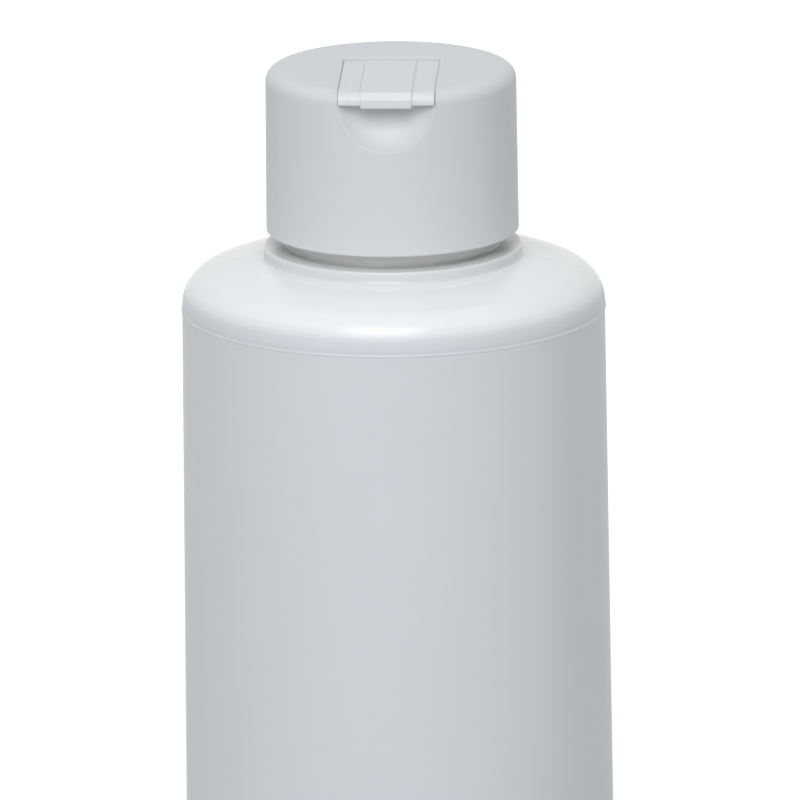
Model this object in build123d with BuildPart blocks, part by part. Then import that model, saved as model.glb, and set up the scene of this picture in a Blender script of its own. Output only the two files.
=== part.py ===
from build123d import *
from math import acos, cos, degrees, radians, sin, tan
import os

# A 250 ml blow-moulded bottle with a 28 mm screw cap whose flat spout flips up from the deck.
# Millimetres. The base stands on z = 0 round the Z axis, and the spout points to -Y when shut.

# Bottle body
panel_height = 111.0  # from the standing ring to the line round the top of the label panel
panel_top_radius = 28.0
panel_taper = 0.4  # degrees a side, wider towards the base
body_wall = 1.1
base_wall = 1.5
base_corner_radius = 3.2
base_corner_inside = 2.2
foot_width = 3.0  # standing ring, before its inner edge is rounded
foot_inner_radius = 1.0  # rounding of that inner edge
push_up = 3.0  # how far the base is pushed up in its middle
panel_line_radius = 0.3  # section of the thin raised line
panel_line_proud = 0.13

# Shoulder, a small arc round the corner of the body and a wide one up to the neck
shoulder_band = 0.8  # straight band between the panel line and the small arc
shoulder_corner_radius = 4.7
shoulder_corner_turn = 70.5  # degrees
shoulder_top_radius = 39.3

# Collar and neck finish
collar_ledge = 3.1  # width of its flat top round the neck
collar_wall = 1.53  # its top above the end of the shoulder's wide arc
collar_cove = 0.6
collar_edge = 0.28
neck_root_radius = 12.6  # the screw thread stands on this cylinder
neck_wall = 2.2
neck_base_step = 1.4  # plain foot of the neck, thicker than the threaded part
neck_base_height = 3.4
neck_height = 16.5  # from the collar's top to the sealing land
neck_edge = 0.4
neck_bore_edge = 1.5

# Seal disc between the land and the cap
liner_thickness = 1.0
liner_overhang = 0.8  # past the threaded part of the neck
liner_hole_radius = 3.6

# Cap
cap_gap = 1.95  # open gap between the collar and the cap's lower edge
cap_draft = 0.15  # how much narrower the cap is at its deck than at its foot
cap_crown = 0.1  # how far the deck rises to its middle
cap_rim_radius = 1.8
cap_lower_edge = 0.3
thread_space = 2.0  # between the neck and the cap's wall, for the two threads
bell_clearance = 1.1  # round the neck's plain foot
bell_height = 3.6
skirt_wall = 1.6  # at the cap's foot
liner_clearance = 0.2  # round the edge of the seal disc
seal_bore_height = 1.75
deck_thickness = 1.7
core_pocket_inset = 0.2  # edge of the core pocket inside the neck's bore
core_wall = 1.1

# Spout
spout_width = 12.7
spout_recess = 0.1  # its flat top below the deck's edge
pivot_behind = 1.5  # pivot axis behind the cap's axis
pivot_depth = 2.4  # pivot axis below the deck's edge
barrel_radius = 3.0
socket_floor = 0.99  # wall between the barrel's socket and the cap's ceiling
wing_thickness = 1.65
wing_setback = 0.85  # wings' front face behind the widest line of the deck
wing_nose_radius = 1.4
wing_edge = 0.1
rib_width = 6.65
rib_raise = 0.1  # middle panel above the wings
rib_thickness = 2.05
rib_setback = 0.45
rib_slope_run = 0.7  # the rib's nose slopes down to a level grip edge
rib_slope_drop = 0.95
rib_nose_radius = 0.3
rib_edge = 0.06
groove_width = 0.2  # fine grooves in the wings along both sides of the rib
groove_depth = 0.12
tube_radius = 1.95
tube_setback = 4.5
bore_radius = 1.2
outlet_run = 1.2  # cone ahead of the tube that opens the bore through the rib's underside
trunnion_radius = 1.2
trunnion_length = 0.8

# Channel and thumb scoop in the cap
running_clearance = 0.06
side_clearance = 0.05
floor_clearance = 0.15
tube_end_clearance = 0.35  # ahead of the tube, whose lower edge swings forward as it rises
trunnion_end_clearance = 0.1
flare_width = 0.6  # how much the channel widens at the front of the rim
flare_length = 1.2
scoop_radius = 6.8
scoop_depth = 3.6  # from the radius of the cap's foot
scoop_centre_depth = 1.05
channel_edge = 0.08  # round where the channel meets the deck
cut_above_deck = 2.0  # cuts made from above start this far over the deck's edge

# Radii worked out from the sizes above
base_radius = panel_top_radius + panel_height * tan(radians(panel_taper))
neck_bore_radius = neck_root_radius - neck_wall
neck_base_radius = neck_root_radius + neck_base_step
collar_radius = neck_base_radius + collar_ledge
liner_radius = neck_root_radius + liner_overhang
seal_bore_radius = liner_radius + liner_clearance
thread_bore_radius = neck_root_radius + thread_space
bell_bore_radius = neck_base_radius + bell_clearance
cap_bottom_radius = bell_bore_radius + skirt_wall
cap_top_radius = cap_bottom_radius - cap_draft
core_pocket_radius = neck_bore_radius - core_pocket_inset
wing_front = cap_top_radius - wing_setback
rib_front = cap_top_radius - rib_setback
tube_front = cap_top_radius - tube_setback

# Heights
shoulder_start = panel_height + shoulder_band
centre_shift = shoulder_top_radius - shoulder_corner_radius
corner_turn = radians(shoulder_corner_turn)
top_centre_r = panel_top_radius - shoulder_corner_radius - centre_shift * cos(corner_turn)
top_centre_z = shoulder_start - centre_shift * sin(corner_turn)
shoulder_end = acos((collar_radius - top_centre_r) / shoulder_top_radius)
shoulder_end_inside = acos((neck_bore_radius - top_centre_r) / (shoulder_top_radius - body_wall))
ledge_z = top_centre_z + shoulder_top_radius * sin(shoulder_end) + collar_wall
land_z = ledge_z + neck_height
cap_bottom_z = ledge_z + cap_gap
ceiling_z = land_z + liner_thickness
pivot_z = ceiling_z + socket_floor + running_clearance + barrel_radius
deck_z = pivot_z + pivot_depth
spout_top_z = deck_z - spout_recess


def corner(sketch, x, y):
    """The vertex of a sketch that lies nearest a point."""
    return sketch.vertices().sort_by_distance((x, y, 0))[0]


def edge_near(solid, x, y, z):
    """The edge of a solid that passes nearest a point."""
    return solid.edges().sort_by_distance((x, y, z))[0]


with BuildPart() as bottle:
    # Outside: base, body, shoulder, collar and neck turned round the axis
    foot_outer = base_radius
    foot_inner = base_radius - base_corner_radius - foot_width
    neck_base_top = ledge_z + neck_base_height
    with BuildSketch(Plane.XZ) as outside:
        with BuildLine():
            TangentArc((0, push_up), (foot_inner, 0), tangent=(1, 0))
            Line((foot_inner, 0), (foot_outer, 0))
            Polyline((foot_outer, 0), (panel_top_radius, panel_height), (panel_top_radius, shoulder_start))
            turn_in = JernArc(
                (panel_top_radius, shoulder_start), (0, 1), shoulder_corner_radius, shoulder_corner_turn
            )
            shoulder = JernArc(
                turn_in @ 1,
                turn_in % 1,
                shoulder_top_radius,
                degrees(shoulder_end) - shoulder_corner_turn,
            )
            Polyline(
                shoulder @ 1,
                (collar_radius, ledge_z),
                (neck_base_radius, ledge_z),
                (neck_base_radius, neck_base_top),
                (neck_root_radius, neck_base_top + neck_base_radius - neck_root_radius),
                (neck_root_radius, land_z),
                (0, land_z),
                (0, push_up),
            )
        make_face()
        collar_foot_z = (shoulder @ 1).Y
        fillet(corner(outside, foot_outer, 0), base_corner_radius)
        fillet(corner(outside, foot_inner, 0), foot_inner_radius)
        fillet(corner(outside, collar_radius, collar_foot_z), collar_cove)
        fillet(corner(outside, collar_radius, ledge_z), collar_edge)
        fillet(corner(outside, neck_base_radius, ledge_z), collar_edge)
        fillet(corner(outside, neck_root_radius, land_z), neck_edge)
    revolve(axis=Axis.Z)

    # Thin raised line at the top of the label panel
    with BuildSketch(Plane.XZ):
        with Locations((panel_top_radius + panel_line_proud - panel_line_radius, panel_height)):
            Circle(panel_line_radius)
    revolve(axis=Axis.Z)

    # Inside: the same form one wall in, and the neck's bore
    inside_base = base_radius - body_wall
    inside_top = panel_top_radius - body_wall
    with BuildSketch(Plane.XZ) as inside:
        with BuildLine():
            TangentArc((0, push_up + base_wall), (foot_inner, base_wall), tangent=(1, 0))
            Polyline((foot_inner, base_wall), (inside_base, base_wall), (inside_top, panel_height))
            Line((inside_top, panel_height), (inside_top, shoulder_start))
            turn_in = JernArc(
                (inside_top, shoulder_start),
                (0, 1),
                shoulder_corner_radius - body_wall,
                shoulder_corner_turn,
            )
            shoulder_inside = JernArc(
                turn_in @ 1,
                turn_in % 1,
                shoulder_top_radius - body_wall,
                degrees(shoulder_end_inside) - shoulder_corner_turn,
            )
            Polyline(
                shoulder_inside @ 1,
                (neck_bore_radius, land_z + neck_edge),
                (0, land_z + neck_edge),
                (0, push_up + base_wall),
            )
        make_face()
        neck_bore_foot_z = (shoulder_inside @ 1).Y
        fillet(corner(inside, inside_base, base_wall), base_corner_inside)
        fillet(corner(inside, neck_bore_radius, neck_bore_foot_z), neck_bore_edge)
    revolve(axis=Axis.Z, mode=Mode.SUBTRACT)
    mouth = bottle.edges().filter_by(GeomType.CIRCLE).group_by(Axis.Z)[-1].sort_by(SortBy.RADIUS)[0]
    fillet(mouth, neck_edge)
bottle.part.label = "bottle"

with BuildPart() as liner:
    with BuildSketch(Plane.XY.offset(land_z)):
        Circle(liner_radius)
        Circle(liner_hole_radius, mode=Mode.SUBTRACT)
    extrude(amount=liner_thickness)
liner.part.label = "liner"

with BuildPart() as cap:
    # Skirt, rounded rim and slightly crowned deck
    with BuildSketch(Plane.XZ) as shell:
        with BuildLine():
            Polyline((0, cap_bottom_z), (cap_bottom_radius, cap_bottom_z), (cap_top_radius, deck_z))
            TangentArc((0, deck_z + cap_crown), (cap_top_radius, deck_z), tangent=(1, 0))
            Line((0, deck_z + cap_crown), (0, cap_bottom_z))
        make_face()
        fillet(corner(shell, cap_top_radius, deck_z), cap_rim_radius)
        fillet(corner(shell, cap_bottom_radius, cap_bottom_z), cap_lower_edge)
    revolve(axis=Axis.Z)

    # Bores for the neck: wide mouth, thread wall and the seal disc's bore up to the ceiling
    seal_bore_z = ceiling_z - seal_bore_height
    bell_z = cap_bottom_z + bell_height
    bell_step = bell_bore_radius - thread_bore_radius
    with BuildSketch(Plane.XZ):
        with BuildLine():
            Polyline(
                (0, cap_bottom_z),
                (bell_bore_radius, cap_bottom_z),
                (bell_bore_radius, bell_z),
                (thread_bore_radius, bell_z + bell_step),
                (thread_bore_radius, seal_bore_z),
                (seal_bore_radius, seal_bore_z),
                (seal_bore_radius, ceiling_z),
                (0, ceiling_z),
                (0, cap_bottom_z),
            )
        make_face()
    revolve(axis=Axis.Z, mode=Mode.SUBTRACT)

    # Core pocket above the ceiling, round the back and sides of the channel's walls
    channel_half = spout_width / 2 + side_clearance
    trunnion_reach = spout_width / 2 + trunnion_length + trunnion_end_clearance
    socket_radius = barrel_radius + running_clearance
    box_half = trunnion_reach + core_wall
    box_back = pivot_behind + socket_radius + core_wall
    with BuildSketch(Plane.XY.offset(ceiling_z)):
        Circle(core_pocket_radius)
        with Locations((0, box_back)):
            Rectangle(
                2 * box_half,
                2 * core_pocket_radius,
                align=(Align.CENTER, Align.MAX),
                mode=Mode.SUBTRACT,
            )
    extrude(amount=deck_z - deck_thickness - ceiling_z, mode=Mode.SUBTRACT)

    # Channel: a stepped trough for the wings and the middle rib, open at the front
    wing_floor_z = spout_top_z - wing_thickness - floor_clearance
    rib_floor_z = spout_top_z + rib_raise - rib_thickness - floor_clearance
    rib_half = rib_width / 2 + floor_clearance
    channel_top_z = deck_z + cut_above_deck
    with BuildSketch(Plane.XZ.offset(-pivot_behind)):
        for half_width, floor_z in ((channel_half, wing_floor_z), (rib_half, rib_floor_z)):
            with Locations((0, floor_z)):
                Rectangle(2 * half_width, channel_top_z - floor_z, align=(Align.CENTER, Align.MIN))
    extrude(amount=pivot_behind + cap_bottom_radius + flare_length, mode=Mode.SUBTRACT)

    # Deeper trough for the tube, closed ahead of it by the wall behind the thumb scoop
    tube_half = tube_radius + floor_clearance
    with BuildSketch(Plane.XZ.offset(-pivot_behind)):
        with Locations((0, pivot_z)):
            Rectangle(2 * tube_half, channel_top_z - pivot_z, align=(Align.CENTER, Align.MIN))
            Circle(tube_half)
    extrude(amount=pivot_behind + tube_front + tube_end_clearance, mode=Mode.SUBTRACT)

    # Socket for the barrel, open upwards, and the blind holes for its trunnions
    with BuildSketch(Plane.YZ):
        with Locations((pivot_behind, pivot_z)):
            Circle(socket_radius)
            Rectangle(2 * socket_radius, channel_top_z - pivot_z, align=(Align.CENTER, Align.MIN))
    extrude(amount=channel_half, both=True, mode=Mode.SUBTRACT)
    with BuildSketch(Plane.YZ):
        with Locations((pivot_behind, pivot_z)):
            Circle(trunnion_radius + running_clearance)
    extrude(amount=trunnion_reach, both=True, mode=Mode.SUBTRACT)

    # Small round where the channel and the socket meet the deck
    channel_back = pivot_behind + socket_radius
    fillet(
        [
            edge_near(cap, -channel_half, 0, deck_z + cap_crown),
            edge_near(cap, channel_half, 0, deck_z + cap_crown),
            edge_near(cap, 0, channel_back, deck_z + cap_crown),
        ],
        channel_edge,
    )

    # Pouring orifice through the floor of the socket
    with BuildSketch(Plane.XY.offset(pivot_z)):
        with Locations((0, pivot_behind)):
            Circle(bore_radius)
    extrude(amount=ceiling_z - pivot_z, mode=Mode.SUBTRACT)

    # Rounded flare where the channel's sides run out through the rim
    flare_y = -cap_top_radius + flare_length
    with BuildSketch(Plane.XY.offset(wing_floor_z)):
        for side in (-1, 1):
            with BuildLine():
                inner = (side * channel_half, flare_y)
                lip = (side * (channel_half + flare_width), flare_y - 2 * flare_length)
                bend = (side * channel_half, flare_y - flare_length)
                Bezier(inner, bend, lip)
                Polyline(lip, (0, lip[1]), (0, flare_y), inner)
            make_face()
    extrude(amount=channel_top_z - wing_floor_z, mode=Mode.SUBTRACT)

    # Thumb scoop under the spout's tip: half an ellipse turned round a level axis
    scoop_z = deck_z - scoop_centre_depth
    with BuildSketch(Plane.YZ):
        with BuildLine():
            scoop_arc = EllipticalCenterArc((-cap_bottom_radius, scoop_z), scoop_depth, scoop_radius)
            Polyline(
                scoop_arc @ 1,
                (-cap_bottom_radius - scoop_depth, scoop_z + scoop_radius),
                (-cap_bottom_radius - scoop_depth, scoop_z),
                scoop_arc @ 0,
            )
        make_face()
    revolve(axis=Axis((0, 0, scoop_z), (0, 1, 0)), mode=Mode.SUBTRACT)
cap.part.label = "cap"

with BuildPart() as spout:
    # Barrel, with the wings and the middle rib running forward from it
    with BuildSketch(Plane.YZ):
        with Locations((pivot_behind, pivot_z)):
            Circle(barrel_radius)
    extrude(amount=spout_width / 2, both=True)
    with BuildSketch(Plane.YZ) as wings:
        with Locations((pivot_behind, spout_top_z)):
            Rectangle(wing_front + pivot_behind, wing_thickness, align=(Align.MAX, Align.MAX))
        fillet(corner(wings, -wing_front, spout_top_z), wing_nose_radius)
    extrude(amount=spout_width / 2, both=True)
    rib_top_z = spout_top_z + rib_raise
    rib_bottom_z = rib_top_z - rib_thickness
    grip_edge_z = rib_top_z - rib_slope_drop
    with BuildSketch(Plane.YZ) as rib:
        with BuildLine():
            Polyline(
                (pivot_behind, rib_top_z),
                (-rib_front + rib_slope_run, rib_top_z),
                (-rib_front, grip_edge_z),
                (-rib_front, rib_bottom_z),
                (pivot_behind, rib_bottom_z),
                (pivot_behind, rib_top_z),
            )
        make_face()
        fillet(corner(rib, -rib_front + rib_slope_run, rib_top_z), rib_nose_radius)
        fillet(corner(rib, -rib_front, grip_edge_z), rib_nose_radius)
    extrude(amount=rib_width / 2, both=True)

    # The barrel is cut flat, level with the wings and with the rib
    for inner, outer, top_z in (
        (0, rib_width / 2, rib_top_z),
        (rib_width / 2, spout_width / 2, spout_top_z),
    ):
        with BuildSketch(Plane.XY.offset(top_z)):
            for side in (-1, 1):
                with Locations((side * (inner + outer) / 2, pivot_behind)):
                    Rectangle(outer - inner, 2 * barrel_radius)
        extrude(amount=barrel_radius, mode=Mode.SUBTRACT)

    # Fine grooves in the wings along both sides of the rib
    groove_length = wing_front + pivot_behind + barrel_radius
    with BuildSketch(Plane.XY.offset(spout_top_z)):
        for side in (-1, 1):
            with Locations((side * (rib_width + groove_width) / 2, -wing_front)):
                Rectangle(groove_width, groove_length, align=(Align.CENTER, Align.MIN))
    extrude(amount=-groove_depth, mode=Mode.SUBTRACT)

    # Tube under the rib, trunnions, and the bore right through tube and barrel
    with BuildSketch(Plane.XZ.offset(-pivot_behind)):
        with Locations((0, pivot_z)):
            Circle(tube_radius)
    extrude(amount=tube_front + pivot_behind)
    with BuildSketch(Plane.YZ):
        with Locations((pivot_behind, pivot_z)):
            Circle(trunnion_radius)
    extrude(amount=spout_width / 2 + trunnion_length, both=True)
    barrel_back = pivot_behind + barrel_radius
    with BuildSketch(Plane.YZ):
        with BuildLine():
            Polyline(
                (barrel_back, pivot_z),
                (barrel_back, pivot_z + bore_radius),
                (-tube_front, pivot_z + bore_radius),
                (-tube_front - outlet_run, pivot_z),
                (barrel_back, pivot_z),
            )
        make_face()
    revolve(axis=Axis((0, 0, pivot_z), (0, 1, 0)), mode=Mode.SUBTRACT)

    # Small rounds along the top edges
    fillet([edge_near(spout, side * spout_width / 2, 0, spout_top_z) for side in (-1, 1)], wing_edge)
    fillet([edge_near(spout, side * rib_width / 2, 0, rib_top_z) for side in (-1, 1)], rib_edge)
spout.part.label = "spout"

os.makedirs("parts", exist_ok=True)
export_step(bottle.part, "parts/bottle.step")
export_step(liner.part, "parts/liner.step")
export_step(cap.part, "parts/cap.step")
export_step(spout.part, "parts/spout.step")
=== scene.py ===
"""Looks for a flip-spout bottle: materials, screw threads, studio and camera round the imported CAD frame."""
import math

import bmesh
import bpy
from mathutils import Matrix, Vector


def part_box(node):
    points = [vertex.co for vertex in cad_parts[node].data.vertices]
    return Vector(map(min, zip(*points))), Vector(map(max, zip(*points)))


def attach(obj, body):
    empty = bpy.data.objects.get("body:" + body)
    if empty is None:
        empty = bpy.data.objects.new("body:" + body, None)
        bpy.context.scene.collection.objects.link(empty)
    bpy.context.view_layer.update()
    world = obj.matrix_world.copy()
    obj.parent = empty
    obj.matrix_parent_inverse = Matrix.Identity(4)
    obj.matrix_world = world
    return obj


MM = 0.001

# Camera: lengths in metres and angles in degrees, but its lens and sensor in millimetres
CAMERA_DISTANCE = 2.0
CAMERA_TARGET_Z = 106.6 * MM
CAMERA_ELEVATION = 13.8
CAMERA_AZIMUTH = 2.5
CAMERA_PAN = 0.020
CAMERA_PITCH = 14.034
CAMERA_ROLL = -0.72
CAMERA_LENS = 679.2
CAMERA_SENSOR = 36.0
CAMERA_CLIP = (0.1, 50.0)

# Soft light: the world's level, and one softbox in front, above and a little to the left
WORLD_LIGHT = 0.42
KEY_POWER = 20.0
KEY_SIZE = 1.15
KEY_DISTANCE = 1.85
KEY_ELEVATION = 43.0
KEY_AZIMUTH = 5.5
KEY_AIM = Vector((0, 0, 0.09))

# Floor: its own grey, which takes the shadow, and the lift to white that the camera sees near and far
FLOOR_COLOUR = (0.55, 0.55, 0.55)
FLOOR_ROUGHNESS = 0.9
FLOOR_HALF_WIDTH = 6.0
FLOOR_DROP = 0.03 * MM
FLOOR_NEAR = 0.1
FLOOR_FAR = 0.8
FLOOR_LIFT_NEAR = 0.62
FLOOR_LIFT_FAR = 0.9

# Plastics: the grain is the texture of the mould, and sizes and heights are in millimetres
PLASTICS = {
    "bottle": {
        "material": "bottle_plastic",
        "colour": (0.722, 0.765, 0.805),
        "roughness": 0.40,
        "grain_size": 0.28,
        "grain_height": 0.012,
        "wave_height": 0.05,
    },
    "cap": {
        "material": "cap_plastic",
        "colour": (0.71, 0.74, 0.765),
        "roughness": 0.48,
        "grain_size": 0.2,
        "grain_height": 0.006,
        "wave_height": 0.02,
    },
    "spout": {
        "material": "spout_plastic",
        "colour": (0.735, 0.765, 0.785),
        "roughness": 0.42,
        "grain_size": 0.2,
        "grain_height": 0.006,
        "wave_height": 0.02,
    },
    "liner": {
        "material": "liner_foam",
        "colour": (0.78, 0.79, 0.80),
        "roughness": 0.75,
        "grain_size": 0.12,
        "grain_height": 0.03,
        "wave_height": 0.02,
    },
}
PLASTIC_IOR = 1.5
SUBSURFACE_WEIGHT = 0.45
SUBSURFACE_SCALE = 1.5 * MM
COLOUR_SPREAD = 0.015
ROUGHNESS_SPREAD = 0.03
CLOUD_SCALE = 55.0
CLOUD_DETAIL = 3.0
GRAIN_DETAIL = 2.0
WAVE_SCALE = 90.0
WAVE_DETAIL = 1.0
TEXTURE_STRENGTH = 0.5

# Painted light and shade on the bottle by height, in millimetres below the neck's land: painted light on the
# shaded lower side of the thin line round the top of the panel and painted shade on its lit upper side,
# painted light from above that makes the shoulder above it paler, painted shade on the collar under the cap,
# and painted light on the neck in the cap's shade
PAINTED_LIGHT_AND_SHADE_BY_DEPTH = (
    (25.65, (1.0, 1.0, 1.0)),
    (25.45, (1.09, 1.09, 1.09)),
    (25.2, (1.09, 1.09, 1.09)),
    (25.05, (0.93, 0.93, 0.93)),
    (24.85, (0.95, 0.95, 0.95)),
    (24.65, (1.0, 1.0, 1.0)),
    (23.15, (1.0, 1.0, 1.0)),
    (22.45, (1.12, 1.12, 1.12)),
    (21.55, (1.25, 1.25, 1.23)),
    (18.35, (1.25, 1.25, 1.23)),
    (17.85, (1.01, 0.98, 0.95)),
    (16.35, (1.0, 0.96, 0.92)),
    (15.85, (1.29, 1.23, 1.16)),
)
# The ramp holds them as shares of this, which keeps its colours under 1
BRIGHTNESS_TOP = 1.3

# The shoulder and neck are smoother than the panel, with the change between these two depths
SHOULDER_SMOOTHER = 0.18
SMOOTHER_DEPTHS = (23.15, 21.55)

# Parting line of the blow mould, along both sides of the bottle
SEAM_HALF_WIDTH = 0.14 * MM
SEAM_HEIGHT = 0.05 * MM

# Screw thread, in millimetres, with its start measured down from the neck's land. Each ridge is sunk a
# little into its cylinder. Its crest is rounded off from a share of its height, where each side stands
# out past the crest's width by one value, up to the top, where it stands in by the other.
THREAD_PITCH = 4.2333
THREAD_TURNS = 1.5
THREAD_STEPS_PER_TURN = 120
THREAD_FADE_STEPS = 10
THREAD_SINK = 0.15
THREAD_ROUNDING_FROM = 0.85
THREAD_ROUNDING_BELOW = 0.12
THREAD_ROUNDING_ABOVE = 0.05
NECK_THREAD = {"root": 12.6, "crest": 13.8, "start_depth": 10.15, "foot_width": 1.9, "crest_width": 0.7}
CAP_THREAD = {"root": 14.6, "crest": 13.1, "start_depth": 8.05, "foot_width": 1.7, "crest_width": 0.6}


def new_material(name):
    """A node material, its nodes and links, and its principled shader."""
    material = bpy.data.materials.new(name)
    material.use_nodes = True
    nodes = material.node_tree.nodes
    return material, nodes, material.node_tree.links, nodes["Principled BSDF"]


def map_range(nodes, links, source, reach, results, smooth=False):
    """The source taken from one range to another."""
    change = nodes.new("ShaderNodeMapRange")
    if smooth:
        change.interpolation_type = "SMOOTHSTEP"
    change.inputs["From Min"].default_value = reach[0]
    change.inputs["From Max"].default_value = reach[1]
    change.inputs["To Min"].default_value = results[0]
    change.inputs["To Max"].default_value = results[1]
    links.new(source, change.inputs["Value"])
    return change.outputs["Result"]


def math_of(nodes, links, operation, first, second=None):
    """One step of arithmetic on one or two sockets."""
    step = nodes.new("ShaderNodeMath")
    step.operation = operation
    links.new(first, step.inputs[0])
    if second is not None:
        links.new(second, step.inputs[1])
    return step.outputs["Value"]


def noise_of(nodes, links, place, scale, detail):
    """Soft noise in the object's own space."""
    noise = nodes.new("ShaderNodeTexNoise")
    noise.inputs["Scale"].default_value = scale
    noise.inputs["Detail"].default_value = detail
    links.new(place, noise.inputs["Vector"])
    return noise.outputs["Fac"]


def bump_of(nodes, links, height, distance, strength, normal=None):
    """A bump laid over an earlier one."""
    bump = nodes.new("ShaderNodeBump")
    bump.inputs["Distance"].default_value = distance
    bump.inputs["Strength"].default_value = strength
    links.new(height, bump.inputs["Height"])
    if normal is not None:
        links.new(normal, bump.inputs["Normal"])
    return bump.outputs["Normal"]


def painted_light_and_shade_by_height(nodes, links, height, colour, land_z):
    """The colour with painted light and shade: scaled by a ramp over the bottle's height."""
    deepest = PAINTED_LIGHT_AND_SHADE_BY_DEPTH[0][0]
    shallowest = PAINTED_LIGHT_AND_SHADE_BY_DEPTH[-1][0]
    reach = (land_z - deepest * MM, land_z - shallowest * MM)
    climb = map_range(nodes, links, height, reach, (0.0, 1.0))
    ramp = nodes.new("ShaderNodeValToRGB")
    stops = ramp.color_ramp.elements
    for depth, _ in PAINTED_LIGHT_AND_SHADE_BY_DEPTH[1:-1]:
        stops.new((deepest - depth) / (deepest - shallowest))
    for stop, (_, gains) in zip(stops, PAINTED_LIGHT_AND_SHADE_BY_DEPTH):
        stop.color = (*[gain / BRIGHTNESS_TOP for gain in gains], 1)
    links.new(climb, ramp.inputs["Fac"])
    scaled = nodes.new("ShaderNodeVectorMath")
    scaled.operation = "SCALE"
    scaled.inputs["Scale"].default_value = BRIGHTNESS_TOP
    links.new(colour, scaled.inputs[0])
    brighter = nodes.new("ShaderNodeVectorMath")
    brighter.operation = "MULTIPLY"
    links.new(scaled.outputs["Vector"], brighter.inputs[0])
    links.new(ramp.outputs["Color"], brighter.inputs[1])
    return brighter.outputs["Vector"]


def smoother_by_height(nodes, links, height, roughness, land_z):
    """The roughness, less on the shoulder and neck than on the panel."""
    reach = [land_z - depth * MM for depth in SMOOTHER_DEPTHS]
    less = map_range(nodes, links, height, reach, (0.0, SHOULDER_SMOOTHER), smooth=True)
    return math_of(nodes, links, "SUBTRACT", roughness, less)


def parting_line(nodes, links, across, normal):
    """A fine ridge where the halves of the mould met."""
    away = math_of(nodes, links, "ABSOLUTE", across)
    ridge = map_range(nodes, links, away, (0.0, SEAM_HALF_WIDTH), (1.0, 0.0), smooth=True)
    return bump_of(nodes, links, ridge, SEAM_HEIGHT, 1.0, normal)


def moulded_plastic(plastic, land_z=None):
    """Moulded plastic with grain, slow waves and slight variation; a land height makes it the bottle's, with
    painted light and shade by height.
    """
    material, nodes, links, shader = new_material(plastic["material"])
    shader.inputs["IOR"].default_value = PLASTIC_IOR
    shader.inputs["Subsurface Weight"].default_value = SUBSURFACE_WEIGHT
    shader.inputs["Subsurface Radius"].default_value = (1.0, 1.0, 1.0)
    shader.inputs["Subsurface Scale"].default_value = SUBSURFACE_SCALE
    place = nodes.new("ShaderNodeTexCoord").outputs["Object"]

    cloud = noise_of(nodes, links, place, CLOUD_SCALE, CLOUD_DETAIL)
    tint = nodes.new("ShaderNodeMix")
    tint.data_type = "RGBA"
    tint.inputs["A"].default_value = (*[part * (1 - COLOUR_SPREAD) for part in plastic["colour"]], 1)
    tint.inputs["B"].default_value = (*[part * (1 + COLOUR_SPREAD) for part in plastic["colour"]], 1)
    links.new(cloud, tint.inputs["Factor"])
    colour = tint.outputs["Result"]
    spread = (plastic["roughness"] - ROUGHNESS_SPREAD, plastic["roughness"] + ROUGHNESS_SPREAD)
    roughness = map_range(nodes, links, cloud, (0.0, 1.0), spread)

    grain = noise_of(nodes, links, place, 1.0 / (plastic["grain_size"] * MM), GRAIN_DETAIL)
    fine = bump_of(nodes, links, grain, plastic["grain_height"] * MM, TEXTURE_STRENGTH)
    wave = noise_of(nodes, links, place, WAVE_SCALE, WAVE_DETAIL)
    normal = bump_of(nodes, links, wave, plastic["wave_height"] * MM, TEXTURE_STRENGTH, fine)

    if land_z is not None:
        axes = nodes.new("ShaderNodeSeparateXYZ")
        links.new(place, axes.inputs["Vector"])
        # The bottle's colour gets painted light and shade by height
        colour = painted_light_and_shade_by_height(nodes, links, axes.outputs["Z"], colour, land_z)
        roughness = smoother_by_height(nodes, links, axes.outputs["Z"], roughness, land_z)
        normal = parting_line(nodes, links, axes.outputs["Y"], normal)
    links.new(colour, shader.inputs["Base Color"])
    links.new(roughness, shader.inputs["Roughness"])
    links.new(normal, shader.inputs["Normal"])
    return material


def mesh_object(name, shape, material):
    """A smooth-shaded object from a bmesh."""
    mesh = bpy.data.meshes.new(name)
    shape.to_mesh(mesh)
    shape.free()
    for face in mesh.polygons:
        face.use_smooth = True
    mesh.materials.append(material)
    made = bpy.data.objects.new(name, mesh)
    bpy.context.scene.collection.objects.link(made)
    return made


def thread_section(thread, fade):
    """Corners of the ridge's section: millimetres out from the root and up from its middle."""
    outward = 1 if thread["crest"] > thread["root"] else -1
    reach = (thread["crest"] - thread["root"]) * fade
    half_foot = thread["foot_width"] / 2
    half_crest = thread["crest_width"] / 2
    upper_half = (
        (-outward * THREAD_SINK, half_foot),
        (0.0, half_foot),
        (reach * THREAD_ROUNDING_FROM, half_crest + THREAD_ROUNDING_BELOW),
        (reach, half_crest - THREAD_ROUNDING_ABOVE),
    )
    return [(out, -up) for out, up in upper_half] + list(reversed(upper_half))


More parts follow.
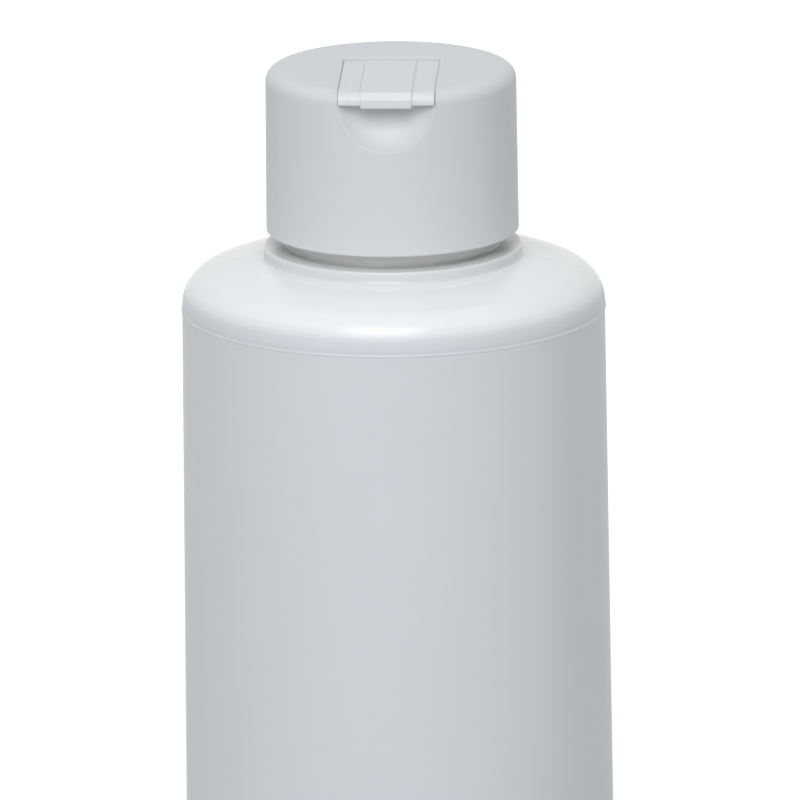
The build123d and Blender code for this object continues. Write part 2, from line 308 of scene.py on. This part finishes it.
def thread_ridge(name, thread, material, land_z):
    """A right-handed helical ridge on a cylinder, which fades in and out at its ends."""
    steps = int(THREAD_TURNS * THREAD_STEPS_PER_TURN)
    shape = bmesh.new()
    rows = []
    for step in range(steps + 1):
        angle = 2 * math.pi * step / THREAD_STEPS_PER_TURN
        height = land_z + (THREAD_PITCH * step / THREAD_STEPS_PER_TURN - thread["start_depth"]) * MM
        fade = min(1.0, step / THREAD_FADE_STEPS, (steps - step) / THREAD_FADE_STEPS)
        fade = fade * fade * (3 - 2 * fade)
        row = []
        for out, up in thread_section(thread, fade):
            radius = (thread["root"] + out) * MM
            corner = (radius * math.cos(angle), radius * math.sin(angle), height + up * MM)
            row.append(shape.verts.new(corner))
        rows.append(row)
    for here, ahead in zip(rows, rows[1:]):
        for side in range(len(here)):
            beside = (side + 1) % len(here)
            shape.faces.new((here[side], ahead[side], ahead[beside], here[beside]))
    shape.faces.new(rows[0])
    shape.faces.new(list(reversed(rows[-1])))
    bmesh.ops.recalc_face_normals(shape, faces=shape.faces)
    return mesh_object(name, shape, material)


def white_to_camera(nodes, links):
    """1 for camera, mirror and see-through rays, 0 for the rays that light the scene."""
    path = nodes.new("ShaderNodeLightPath").outputs
    seen = math_of(nodes, links, "MAXIMUM", path["Is Camera Ray"], path["Is Glossy Ray"])
    return math_of(nodes, links, "MAXIMUM", seen, path["Is Transmission Ray"])


def make_floor():
    """A wide pale floor that reads as white but keeps the bottle's shadow."""
    material, nodes, links, shader = new_material("floor_white")
    shader.inputs["Base Color"].default_value = (*FLOOR_COLOUR, 1)
    shader.inputs["Roughness"].default_value = FLOOR_ROUGHNESS
    shader.inputs["Specular IOR Level"].default_value = 0.0
    shader.inputs["Emission Color"].default_value = (1, 1, 1, 1)
    away = nodes.new("ShaderNodeVectorMath")
    away.operation = "LENGTH"
    links.new(nodes.new("ShaderNodeTexCoord").outputs["Object"], away.inputs[0])
    lifts = (FLOOR_LIFT_NEAR, FLOOR_LIFT_FAR)
    lift = map_range(nodes, links, away.outputs["Value"], (FLOOR_NEAR, FLOOR_FAR), lifts)
    strength = math_of(nodes, links, "MULTIPLY", white_to_camera(nodes, links), lift)
    links.new(strength, shader.inputs["Emission Strength"])
    shape = bmesh.new()
    bmesh.ops.create_grid(shape, x_segments=1, y_segments=1, size=FLOOR_HALF_WIDTH)
    floor = mesh_object("floor", shape, material)
    floor.location.z = -FLOOR_DROP


def make_world():
    """Even soft light from all round; the camera sees plain white."""
    world = bpy.data.worlds.new("studio")
    bpy.context.scene.world = world
    world.use_nodes = True
    nodes = world.node_tree.nodes
    links = world.node_tree.links
    background = nodes["Background"]
    background.inputs["Color"].default_value = (1, 1, 1, 1)
    seen = white_to_camera(nodes, links)
    level = map_range(nodes, links, seen, (0.0, 1.0), (WORLD_LIGHT, 1.0))
    links.new(level, background.inputs["Strength"])


def make_key():
    """The one softbox, a square lamp that faces the bottle."""
    up = math.radians(KEY_ELEVATION)
    side = math.radians(KEY_AZIMUTH)
    away = Vector((-math.sin(side) * math.cos(up), -math.cos(side) * math.cos(up), math.sin(up)))
    lamp = bpy.data.lights.new("key", "AREA")
    lamp.shape = "SQUARE"
    lamp.size = KEY_SIZE
    lamp.energy = KEY_POWER
    key = bpy.data.objects.new("key", lamp)
    key.location = KEY_AIM + away * KEY_DISTANCE
    key.rotation_euler = (-away).to_track_quat("-Z", "Y").to_euler()
    bpy.context.scene.collection.objects.link(key)


def make_camera():
    """The long lens that took the view, from its fitted place, aim and roll."""
    climb = math.radians(CAMERA_ELEVATION)
    pitch = math.radians(CAMERA_PITCH)
    pan = math.radians(CAMERA_PAN)
    roll = math.radians(CAMERA_ROLL)
    back = CAMERA_DISTANCE * math.cos(climb)
    place = Vector((0, -back, CAMERA_TARGET_Z + CAMERA_DISTANCE * math.sin(climb)))
    forward = Vector((math.sin(pan) * math.cos(pitch), math.cos(pan) * math.cos(pitch), -math.sin(pitch)))
    level = forward.cross(Vector((0, 0, 1))).normalized()
    upright = level.cross(forward)
    right = level * math.cos(roll) + upright * math.sin(roll)
    top = upright * math.cos(roll) - level * math.sin(roll)
    axes = Matrix((right, top, -forward)).transposed().to_4x4()
    turn = Matrix.Rotation(math.radians(CAMERA_AZIMUTH), 4, "Z")
    data = bpy.data.cameras.new("camera")
    data.sensor_width = CAMERA_SENSOR
    data.lens = CAMERA_LENS
    data.clip_start = CAMERA_CLIP[0]
    data.clip_end = CAMERA_CLIP[1]
    camera = bpy.data.objects.new("camera", data)
    camera.matrix_world = turn @ Matrix.Translation(place) @ axes
    bpy.context.scene.collection.objects.link(camera)
    bpy.context.scene.camera = camera


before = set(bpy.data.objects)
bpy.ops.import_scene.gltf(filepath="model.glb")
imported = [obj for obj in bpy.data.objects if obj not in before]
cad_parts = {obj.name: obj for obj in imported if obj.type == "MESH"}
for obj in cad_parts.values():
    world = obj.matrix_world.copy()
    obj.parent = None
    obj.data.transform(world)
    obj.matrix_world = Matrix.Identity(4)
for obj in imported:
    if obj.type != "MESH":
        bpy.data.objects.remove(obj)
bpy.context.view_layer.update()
bpy.context.scene.view_settings.view_transform = "Standard"
neck_land_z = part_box("bottle")[1].z

materials = {}
for node, plastic in PLASTICS.items():
    materials[node] = moulded_plastic(plastic, neck_land_z if node == "bottle" else None)
    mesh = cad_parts[node].data
    mesh.materials.clear()
    mesh.materials.append(materials[node])

neck_thread = thread_ridge("neck_thread", NECK_THREAD, materials["bottle"], neck_land_z)
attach(neck_thread, "bottle")
cap_thread = thread_ridge("cap_thread", CAP_THREAD, materials["cap"], neck_land_z)
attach(cap_thread, "cap")

make_floor()
make_world()
make_key()
make_camera()
